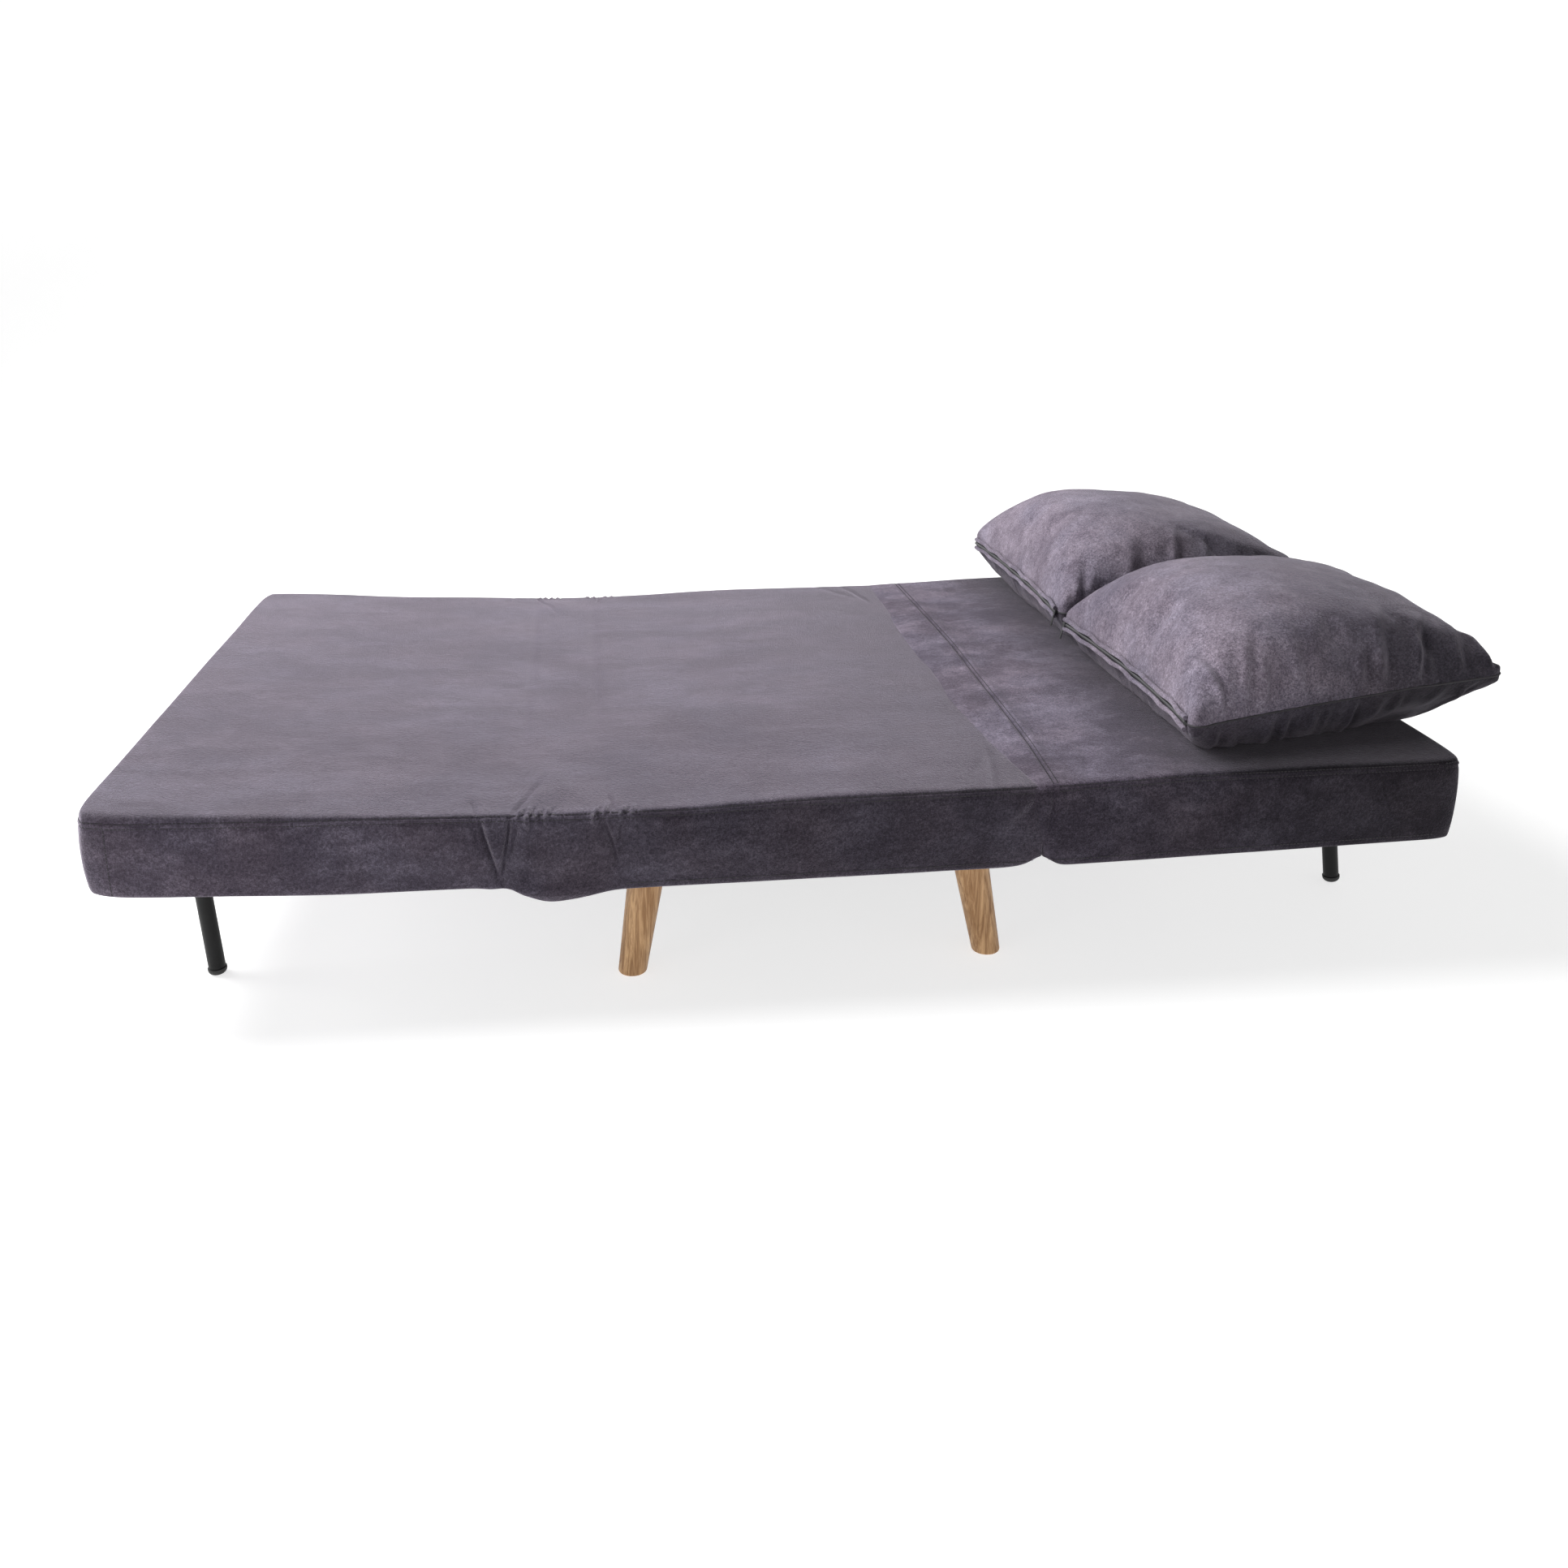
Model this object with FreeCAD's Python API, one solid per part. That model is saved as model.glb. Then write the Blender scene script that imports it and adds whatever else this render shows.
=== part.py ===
import FreeCAD, Part
import math
import os

# Fold-out sofa bed, laid flat as a bed. Millimetres, +Z up, floor at z = 0.
# x runs from the foot end (negative) to the head end (positive), y across the width.
# Each section is drawn level, then turned about its own hinge by its small rest tilt.

os.makedirs("parts", exist_ok=True)

# ---------------------------------------------------------------- driving dimensions
bed_length = 1900.0
pillow_overhang = 120.0
half_width = 600.0
x_foot_end = -1007.88
x_head_end = x_foot_end + bed_length

fold_x = x_foot_end + 597.0
fold_z = 285.0
foot_tilt = 1.8
recline_x = x_foot_end + 1285.0
recline_z = 262.0
back_tilt = 0.9
joint_gap = 7.5

lying_z = 283.5
seat_under_z = 171.0
foot_under_z = 183.0
back_top_z = 291.0
skin = 2.0
top_round = 12.0
under_round = 8.0
corner_round = 35.0
foam_gap = 0.2

tube_side = 25.0
tube_wall = 1.5
frame_half_width = 585.0
frame_inset_end = 14.0
frame_inset_joint = 3.5
slat_width = 58.0

seat_rail_z = 176.0
foot_rail_z = 188.0
slat_top_gap = 1.0
seat_slat_thick = 8.0
foot_slat_thick = 6.0

wood_leg_top_r = 27.0
wood_leg_foot_r = 20.5
wood_leg_edge = 4.0
wood_leg_top_z = 173.0
wood_leg_x = {"front": x_foot_end + 735.0, "rear": x_foot_end + 1202.0}
wood_leg_foot_x = {"front": x_foot_end + 707.0, "rear": x_foot_end + 1235.0}
wood_leg_y = 500.0
wood_leg_foot_y = 511.0
leg_plate_x = 100.0
leg_plate_y = 90.0
leg_plate_thick = 3.0
stud_r = 5.0
stud_length = 40.0
stud_clearance = 0.1

arm_y = 500.0
arm_thick = 6.0
arm_side_gap = 0.5
arm_eye_r = 6.0
fold_pin_r = 3.0
fold_head_r = 5.0
fold_head_thick = 2.5
pin_clearance = 0.05

plate_y = 538.0
plate_thick = 4.0
plate_side_gap = 0.5
plate_eye_r = 18.0
recline_bolt_r = 5.0
recline_head_r = 8.5
recline_head_thick = 4.0
notch_r = 1.6
recline_steps = (0.0, 20.0, 40.0, 60.0, 80.0)
wedge_angle = 42.0

leg_tube_r = 12.5
leg_tube_wall = 1.5
leg_post_r = 12.0
leg_pin_r = 6.0
leg_cross_half = 548.0
bracket_thick = 8.0
bracket_r = 10.5
cap_r = 13.5
cap_height = 10.0
cap_round = 8.0
cap_plug = 18.0
foot_leg_x = x_foot_end + 99.0
foot_leg_z = 198.5
foot_leg_lean = -5.3
foot_post_y = 446.0
back_leg_x = x_foot_end + 1836.0
back_leg_z = 186.5
back_leg_lean = 8.1
back_post_y = 352.0
leg_slot_half = 18.0
leg_slot_length = 225.0
leg_slot_back = 20.0

pillow_x = (x_foot_end + 1500.0, x_head_end + pillow_overhang)
pillow_y = (8.0, 585.0)
pillow_gap = 0.4
pillow_levels = ((0.0, 100.0, 60.0), (30.0, 34.0, 50.0), (72.0, 0.0, 34.0), (130.0, 24.0, 60.0),
                 (185.0, 80.0, 90.0), (222.0, 170.0, 70.0))
zip_length = 400.0
zip_thick = 3.0
zip_height = 7.0

SIDES = (("near", -1.0), ("far", 1.0))
Y_AXIS = FreeCAD.Vector(0, 1, 0)


# ---------------------------------------------------------------- shared shapes
def box(x0, x1, y0, y1, z0, z1):
    return Part.makeBox(x1 - x0, y1 - y0, z1 - z0, FreeCAD.Vector(x0, y0, z0))


def rod(radius, y0, y1, x, z):
    """A cylinder along y."""
    return Part.makeCylinder(radius, y1 - y0, FreeCAD.Vector(x, y0, z), Y_AXIS)


def profile(points, y0, y1):
    """A closed outline in the xz plane, extruded along y."""
    corners = [FreeCAD.Vector(x, y0, z) for x, z in points]
    face = Part.Face(Part.makePolygon(corners + corners[:1]))
    return face.extrude(FreeCAD.Vector(0, y1 - y0, 0))


def span(side, inner, outer):
    """The y limits of a piece on the near (-1) or far (+1) side."""
    return min(side * inner, side * outer), max(side * inner, side * outer)


def edges_where(shape, keep):
    return [edge for edge in shape.Edges if keep(edge)]


def is_vertical_corner(x_end):
    def keep(edge):
        ends = [v.Point for v in edge.Vertexes]
        return len(ends) == 2 and all(abs(p.x - x_end) < 0.01 for p in ends) and abs(ends[0].z - ends[1].z) > 50
    return keep


def is_rim(level, open_ends):
    """Edges lying at one height, leaving out those across an end that faces a joint."""
    def keep(edge):
        ends = [v.Point for v in edge.Vertexes]
        flat = all(abs(p.z - level) < 0.01 for p in ends)
        return flat and not any(all(abs(p.x - x) < 0.01 for p in ends) for x in open_ends)
    return keep


def cushion(x0, x1, half, z0, z1, inset, round_ends):
    """A cushion block, all faces moved in by inset, with its outer vertical corners and rims rounded."""
    low, high = x0 + inset, x1 - inset
    bottom, top = z0 + inset, z1 - inset
    body = box(low, high, inset - half, half - inset, bottom, top)
    for x_end in round_ends:
        corners = edges_where(body, is_vertical_corner(x_end + inset if x_end == x0 else x_end - inset))
        body = body.makeFillet(corner_round - inset, corners)
    open_ends = [x for x, end in ((low, x0), (high, x1)) if end not in round_ends]
    body = body.makeFillet(top_round - inset, edges_where(body, is_rim(top, open_ends)))
    return body.makeFillet(under_round - inset, edges_where(body, is_rim(bottom, open_ends)))


def square_tube_x(x0, x1, y0, z0):
    outer = box(x0, x1, y0, y0 + tube_side, z0, z0 + tube_side)
    bore = tube_side - tube_wall
    return outer.cut(box(x0 - 1, x1 + 1, y0 + tube_wall, y0 + bore, z0 + tube_wall, z0 + bore))


def square_tube_y(x0, y0, y1, z0):
    outer = box(x0, x0 + tube_side, y0, y1, z0, z0 + tube_side)
    bore = tube_side - tube_wall
    return outer.cut(box(x0 + tube_wall, x0 + bore, y0 - 1, y1 + 1, z0 + tube_wall, z0 + bore))


def frame_rails(x0, x1, z0):
    """The four tubes of a section's frame: two along x, two between them."""
    inner = frame_half_width - tube_side
    return {
        "near": square_tube_x(x0, x1, -frame_half_width, z0),
        "far": square_tube_x(x0, x1, inner, z0),
        "low": square_tube_y(x0, -inner, inner, z0),
        "high": square_tube_y(x1 - tube_side, -inner, inner, z0),
    }


def slats(x0, x1, count, z0, thick):
    """Plywood slats across the frame, evenly spaced."""
    pitch = (x1 - x0 - slat_width) / (count - 1)
    reach = frame_half_width - 2
    pieces = []
    for n in range(count):
        x = x0 + n * pitch
        pieces.append(box(x, x + slat_width, -reach, reach, z0, z0 + thick))
    return Part.makeCompound(pieces)


def turned(shape, x, z, degrees):
    """The shape turned about a y line through (x, z). Positive lifts what lies on the -x side."""
    copy = shape.copy()
    copy.rotate(FreeCAD.Vector(x, 0, z), Y_AXIS, degrees)
    return copy


def foot_set(shape):
    return turned(shape, fold_x, fold_z, foot_tilt)


def back_set(shape):
    return turned(shape, recline_x, recline_z, -back_tilt)


def export(node, shape):
    shape.exportStep("parts/" + node + ".step")


# ---------------------------------------------------------------- hinge pockets and wedges
def recline_pockets(x0, x1):
    pieces = []
    for name, side in SIDES:
        y0, y1 = span(side, plate_y - 11.0, plate_y + 11.0)
        pieces.append(box(x0, x1, y0, y1, seat_under_z - 1, lying_z - skin - 0.5))
    return pieces


def fold_slots(x0, x1, z0, inner, outer):
    """Openings in a cover's joint face for the feet of the fold arms."""
    pieces = []
    for name, side in SIDES:
        y0, y1 = span(side, inner - 1.0, outer + 1.0)
        pieces.append(box(x0, x1, y0, y1, z0, z0 + tube_side))
    return pieces


def wedge(direction, shift, top):
    """The room each cushion leaves above the recline pivot. direction -1 is the seat's side."""
    rise = top - recline_z + 5.0
    run = rise * math.tan(math.radians(wedge_angle))
    x = recline_x + direction * shift
    return profile(
        [(x, recline_z), (x + direction * run, recline_z + rise), (x - direction * 60, recline_z + rise),
         (x - direction * 60, recline_z)],
        -half_width - 1, half_width + 1)


def leg_slots(x_pivot, direction, post_y, z0, z1):
    """Slits in the underside that the folding posts swing through. direction is where they stow."""
    pieces = []
    for name, side in SIDES:
        y0, y1 = span(side, post_y - leg_slot_half, post_y + leg_slot_half)
        x_far = x_pivot + direction * leg_slot_length
        x_near = x_pivot - direction * leg_slot_back
        pieces.append(box(min(x_far, x_near), max(x_far, x_near), y0, y1, z0, z1))
    return pieces


# ---------------------------------------------------------------- seat section
seat_x0 = fold_x + joint_gap
seat_x1 = recline_x - joint_gap
seat_frame_x0 = seat_x0 + frame_inset_joint
seat_frame_x1 = seat_x1 - frame_inset_joint
seat_slat_z = seat_rail_z + tube_side
seat_foam_z = seat_slat_z + seat_slat_thick + slat_top_gap


def make_seat_frame():
    rails = frame_rails(seat_frame_x0, seat_frame_x1, seat_rail_z)
    export("seat_rail_near", rails["near"])
    export("seat_rail_far", rails["far"])
    export("seat_rail_front", rails["low"])
    export("seat_rail_rear", rails["high"])
    inner = frame_half_width - tube_side
    for row, x in wood_leg_x.items():
        export("seat_rail_cross_" + row, square_tube_y(x - tube_side / 2, -inner, inner, seat_rail_z))
    export("seat_slats", slats(seat_frame_x0 + 8, seat_frame_x1 - 14, 7, seat_slat_z, seat_slat_thick))


def make_seat_cushion():
    pockets = recline_pockets(seat_x1 - 12.5, seat_x1 + 1)
    slots = fold_slots(seat_x0 - 1, seat_frame_x0, seat_rail_z, arm_y, arm_y + arm_thick)
    outer = cushion(seat_x0, seat_x1, half_width, seat_under_z, lying_z, 0.0, ())
    inner = cushion(seat_x0, seat_x1, half_width, seat_under_z, lying_z, skin, ())
    outer = outer.cut(wedge(-1, 0.0, lying_z))
    inner = inner.cut(wedge(-1, skin * 1.35, lying_z))
    under = box(seat_x0 + 55, seat_x1 - 55, -410, 410, seat_under_z - 1, seat_under_z + skin + 0.5)
    holes = []
    for row in ("front", "rear"):
        for name, side in SIDES:
            at = FreeCAD.Vector(wood_leg_x[row], side * wood_leg_y, seat_under_z - 1)
            holes.append(Part.makeCylinder(wood_leg_top_r + 2.0, skin + 1.5, at))
    export("seat_cover", outer.cut([inner, under] + holes + pockets + slots))
    foam = cushion(seat_x0, seat_x1, half_width, seat_under_z, lying_z, skin + foam_gap, ())
    foam = foam.cut(wedge(-1, (skin + foam_gap) * 1.35, lying_z))
    below = box(seat_x0, seat_x1, -half_width, half_width, seat_under_z, seat_foam_z)
    export("seat_foam", foam.cut([below] + pockets))
    sheet_z = seat_under_z + skin
    export("seat_dust_cover", box(seat_x0 + 35, seat_x1 - 35, -430, 430, sheet_z, sheet_z + 1.0))


def make_wood_legs():
    plates = []
    for row in ("front", "rear"):
        for name, side in SIDES:
            top = FreeCAD.Vector(wood_leg_x[row], side * wood_leg_y, wood_leg_top_z)
            foot = FreeCAD.Vector(wood_leg_foot_x[row], side * wood_leg_foot_y, 0)
            along = top - foot
            length = along.Length
            along.normalize()
            extra = 20.0
            grow = (wood_leg_top_r - wood_leg_foot_r) * extra / length
            leg = Part.makeCone(wood_leg_foot_r - grow, wood_leg_top_r + grow, length + 2 * extra,
                                foot - along * extra, along)
            leg = leg.common(box(foot.x - 150, foot.x + 150, foot.y - 150, foot.y + 150, 0, wood_leg_top_z))
            leg = leg.makeFillet(wood_leg_edge, edges_where(leg, is_rim(0.0, ())))
            bore = Part.makeCylinder(stud_r + stud_clearance, stud_length + 3.0, top + along * 1.0, along * -1)
            export("seat_leg_" + row + "_" + name, leg.cut(bore))
            plate = box(top.x - leg_plate_x / 2, top.x + leg_plate_x / 2, top.y - leg_plate_y / 2,
                        top.y + leg_plate_y / 2, wood_leg_top_z, wood_leg_top_z + leg_plate_thick)
            stud = Part.makeCylinder(stud_r, stud_length + 1.0, top + along * 1.0, along * -1)
            plates.append(plate.fuse(stud))
    export("seat_leg_plates", Part.makeCompound(plates))


def make_fold_hinges():
    for name, side in SIDES:
        y0, y1 = span(side, arm_y, arm_y + arm_thick)
        strip = box(fold_x - 4.0, fold_x + 6.5, y0, y1, seat_rail_z, fold_z)
        tab = box(fold_x, seat_frame_x0, y0, y1, seat_rail_z + 1, seat_rail_z + tube_side - 1)
        arm = strip.fuse([tab, rod(arm_eye_r, y0, y1, fold_x, fold_z)]).removeSplitter()
        export("seat_fold_arm_" + name, arm.cut(rod(fold_pin_r, y0 - 1, y1 + 1, fold_x, fold_z)))
        inner_face = arm_y - arm_side_gap - arm_thick
        y0, y1 = span(side, inner_face - arm_side_gap, arm_y + arm_thick)
        shank = rod(fold_pin_r, y0, y1, fold_x, fold_z)
        heads = [
            rod(fold_head_r, *span(side, arm_y + arm_thick, arm_y + arm_thick + fold_head_thick), fold_x, fold_z),
            rod(fold_head_r, *span(side, inner_face - arm_side_gap - fold_head_thick,
                                   inner_face - arm_side_gap), fold_x, fold_z),
        ]
        export("fold_pin_" + name, shank.fuse(heads).removeSplitter())


def make_recline_hinges():
    for name, side in SIDES:
        y0, y1 = span(side, plate_y, plate_y + plate_thick)
        strip = box(seat_frame_x1, recline_x + 5.0, y0, y1, seat_rail_z + 1, recline_z)
        plate = strip.fuse(rod(plate_eye_r, y0, y1, recline_x, recline_z)).removeSplitter()
        cuts = [rod(recline_bolt_r, y0 - 1, y1 + 1, recline_x, recline_z)]
        for step in recline_steps:
            angle = math.radians(80.0 - step)
            cuts.append(rod(notch_r, y0 - 1, y1 + 1, recline_x + plate_eye_r * math.cos(angle),
                            recline_z + plate_eye_r * math.sin(angle)))
        export("seat_recline_plate_" + name, plate.cut(cuts))
        inner_face = plate_y - plate_side_gap - plate_thick - plate_side_gap
        y0, y1 = span(side, inner_face, plate_y + plate_thick)
        heads = [
            rod(recline_head_r, *span(side, plate_y + plate_thick,
                                      plate_y + plate_thick + recline_head_thick), recline_x, recline_z),
            rod(recline_head_r, *span(side, inner_face - recline_head_thick, inner_face), recline_x, recline_z),
        ]
        bolt = rod(recline_bolt_r, y0, y1, recline_x, recline_z).fuse(heads).removeSplitter()
        export("recline_bolt_" + name, bolt)


# ---------------------------------------------------------------- foot section
foot_x1 = fold_x - joint_gap
foot_frame_x0 = x_foot_end + frame_inset_end
foot_frame_x1 = foot_x1 - frame_inset_joint
foot_slat_z = foot_rail_z + tube_side
foot_foam_z = foot_slat_z + foot_slat_thick + slat_top_gap


def make_foot_section():
    rails = frame_rails(foot_frame_x0, foot_frame_x1, foot_rail_z)
    export("foot_rail_near", foot_set(rails["near"]))
    export("foot_rail_far", foot_set(rails["far"]))
    export("foot_rail_end", foot_set(rails["low"]))
    export("foot_rail_inner", foot_set(rails["high"]))
    rack = slats(foot_frame_x0 + 14, foot_frame_x1 - 8, 6, foot_slat_z, foot_slat_thick)
    export("foot_slats", foot_set(rack))
    inner_face = arm_y - arm_side_gap - arm_thick
    slots = fold_slots(foot_frame_x1, foot_x1 + 1, foot_rail_z, inner_face, arm_y - arm_side_gap)
    slits = leg_slots(foot_leg_x, 1, foot_post_y, foot_under_z - 1, foot_rail_z - 1)
    outer = cushion(x_foot_end, foot_x1, half_width, foot_under_z, lying_z, 0.0, (x_foot_end,))
    inner = cushion(x_foot_end, foot_x1, half_width, foot_under_z, lying_z, skin, (x_foot_end,))
    export("foot_cover", foot_set(outer.cut([inner] + slots + slits)))
    foam = cushion(x_foot_end, foot_x1, half_width, foot_under_z, lying_z, skin + foam_gap, (x_foot_end,))
    below = box(x_foot_end, foot_x1, -half_width, half_width, foot_under_z, foot_foam_z)
    export("foot_foam", foot_set(foam.cut(below)))
    for name, side in SIDES:
        y0, y1 = span(side, inner_face, arm_y - arm_side_gap)
        strip = box(fold_x - 6.5, fold_x + 4.0, y0, y1, foot_rail_z, fold_z)
        tab = box(foot_frame_x1, fold_x, y0, y1, foot_rail_z + 1, foot_rail_z + tube_side - 1)
        arm = strip.fuse([tab, rod(arm_eye_r, y0, y1, fold_x, fold_z)]).removeSplitter()
        bore = rod(fold_pin_r + pin_clearance, y0 - 1, y1 + 1, fold_x, fold_z)
        export("foot_fold_arm_" + name, foot_set(arm.cut(bore)))


# ---------------------------------------------------------------- back section
back_x0 = recline_x + joint_gap
back_frame_x0 = back_x0 + frame_inset_joint
back_frame_x1 = x_head_end - frame_inset_end
back_foam_z = seat_foam_z


def make_back_section():
    rails = frame_rails(back_frame_x0, back_frame_x1, seat_rail_z)
    export("back_rail_near", back_set(rails["near"]))
    export("back_rail_far", back_set(rails["far"]))
    export("back_rail_inner", back_set(rails["low"]))
    export("back_rail_end", back_set(rails["high"]))
    rack = slats(back_frame_x0 + 14, back_frame_x1 - 14, 6, seat_slat_z, seat_slat_thick)
    export("back_slats", back_set(rack))
    pockets = recline_pockets(back_x0 - 1, back_x0 + 12.5)
    slits = leg_slots(back_leg_x, -1, back_post_y, seat_under_z - 1, seat_rail_z - 1)
    outer = cushion(back_x0, x_head_end, half_width, seat_under_z, back_top_z, 0.0, (x_head_end,))
    inner = cushion(back_x0, x_head_end, half_width, seat_under_z, back_top_z, skin, (x_head_end,))
    outer = outer.cut(wedge(1, 0.0, back_top_z))
    inner = inner.cut(wedge(1, skin * 1.35, back_top_z))
    export("back_cover", back_set(outer.cut([inner] + pockets + slits)))
    inset = skin + foam_gap
    foam = cushion(back_x0, x_head_end, half_width, seat_under_z, back_top_z, inset, (x_head_end,))
    foam = foam.cut(wedge(1, inset * 1.35, back_top_z))
    below = box(back_x0, x_head_end, -half_width, half_width, seat_under_z, back_foam_z)
    export("back_foam", back_set(foam.cut([below] + pockets)))
    for name, side in SIDES:
        y0, y1 = span(side, plate_y - plate_side_gap - plate_thick, plate_y - plate_side_gap)
        strip = box(recline_x - 5.0, back_frame_x0, y0, y1, seat_rail_z + 1, recline_z)
        plate = strip.fuse(rod(plate_eye_r, y0, y1, recline_x, recline_z)).removeSplitter()
        bore = rod(recline_bolt_r + pin_clearance, y0 - 1, y1 + 1, recline_x, recline_z)
        export("back_recline_plate_" + name, back_set(plate.cut(bore)))


# ---------------------------------------------------------------- folding tube legs
def leg_brackets(prefix, x, z, rail_z, place):
    """Bearing plates welded inside the side rails, one at each end of the cross tube."""
    for name, side in SIDES:
        y0, y1 = span(side, frame_half_width - tube_side - bracket_thick, frame_half_width - tube_side)
        foot = box(x - bracket_r, x + bracket_r, y0, y1, z, rail_z + tube_side - 2)
        plate = foot.fuse(rod(bracket_r, y0, y1, x, z)).removeSplitter()
        plate = plate.cut(rod(leg_pin_r + pin_clearance, y0 - 1, y1 + 1, x, z))
        export(prefix + "_leg_bracket_" + name, place(plate))


def folding_leg(prefix, x, z, post_y, lean, pivot, tilt, place):
    """Cross tube, posts and rounded feet. lean tips the posts towards the section's outer end."""
    outward = -1.0 if prefix == "foot" else 1.0
    bore_r = leg_tube_r - leg_tube_wall
    end = frame_half_width - tube_side - 1.0
    tube = rod(leg_tube_r, -leg_cross_half, leg_cross_half, x, z)
    hollow = rod(bore_r, -leg_cross_half + 6, leg_cross_half - 6, x, z)
    tube = tube.cut(hollow).fuse([rod(leg_pin_r, leg_cross_half - 1, end, x, z),
                                  rod(leg_pin_r, -end, 1 - leg_cross_half, x, z)]).removeSplitter()
    export(prefix + "_leg_tube", place(tube))

    # length from the pivot that puts the rounded foot just on the floor
    dx, dz = x - pivot[0], z - pivot[1]
    turn = math.radians(tilt)
    pivot_height = pivot[1] + abs(dx) * math.sin(turn) + dz * math.cos(turn)
    angle = math.radians(abs(lean + tilt))
    flat_r = cap_r - cap_round
    length = (pivot_height - cap_round - flat_r * math.sin(angle)) / math.cos(angle) + cap_round
    down = FreeCAD.Vector(outward * math.sin(math.radians(lean)), 0, -math.cos(math.radians(lean)))
    for name, side in SIDES:
        start = FreeCAD.Vector(x, side * post_y, z)
        full = Part.makeCylinder(leg_post_r, length - cap_height, start, down)
        post = full.cut(Part.makeCylinder(bore_r, length, start, down))
        post = post.cut(rod(leg_tube_r, side * post_y - 30, side * post_y + 30, x, z))
        export(prefix + "_leg_post_" + name, place(post))
        cap = Part.makeCylinder(cap_r, cap_height, start + down * (length - cap_height), down)
        tip = start + down * length
        cap = cap.makeFillet(cap_round, [e for e in cap.Edges if e.CenterOfMass.sub(tip).Length < 0.5])
        plug = Part.makeCylinder(bore_r - 0.1, cap_plug + 1, start + down * (length - cap_height - cap_plug), down)
        export(prefix + "_leg_cap_" + name, place(cap.fuse(plug).removeSplitter()))


# ---------------------------------------------------------------- pillows
def rounded_loop(x0, x1, y0, y1, z, radius):
    face = Part.Face(Part.makePolygon([FreeCAD.Vector(*p) for p in (
        (x0, y0, z), (x1, y0, z), (x1, y1, z), (x0, y1, z), (x0, y0, z))]))
    solid = face.extrude(FreeCAD.Vector(0, 0, 10))
    upright = [e for e in solid.Edges if abs(e.Vertexes[0].Z - e.Vertexes[1].Z) > 5]
    solid = solid.makeFillet(radius, upright)
    flat = [f for f in solid.Faces if abs(f.CenterOfMass.z - z) < 0.01]
    return flat[0].OuterWire


def make_pillows():
    rest_z = back_top_z + pillow_gap
    for name, side in SIDES:
        y0, y1 = span(side, *pillow_y)
        loops = []
        for height, inset, radius in pillow_levels:
            loops.append(rounded_loop(pillow_x[0] + inset, pillow_x[1] - inset, y0 + inset, y1 - inset,
                                      rest_z + height, radius))
        export("pillow_" + name, back_set(Part.makeLoft(loops, True, False)))
        middle = (y0 + y1) / 2
        seam_z = rest_z + pillow_levels[2][0]
        strip = box(pillow_x[0] - zip_thick - 1.2, pillow_x[0] - 1.2, middle - zip_length / 2,
                    middle + zip_length / 2, seam_z - zip_height / 2, seam_z + zip_height / 2)
        export("pillow_" + name + "_zip", back_set(strip))


make_seat_frame()
make_seat_cushion()
make_wood_legs()
make_fold_hinges()
make_recline_hinges()
make_foot_section()
make_back_section()
leg_brackets("foot", foot_leg_x, foot_leg_z, foot_rail_z, foot_set)
leg_brackets("back", back_leg_x, back_leg_z, seat_rail_z, back_set)
folding_leg("foot", foot_leg_x, foot_leg_z, foot_post_y, foot_leg_lean, (fold_x, fold_z), foot_tilt, foot_set)
folding_leg("back", back_leg_x, back_leg_z, back_post_y, back_leg_lean, (recline_x, recline_z), back_tilt,
            back_set)
make_pillows()
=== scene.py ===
import math
import random

import bmesh
import bpy
import numpy as np
from mathutils import Matrix, Vector, noise
from mathutils.bvhtree import BVHTree


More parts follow.
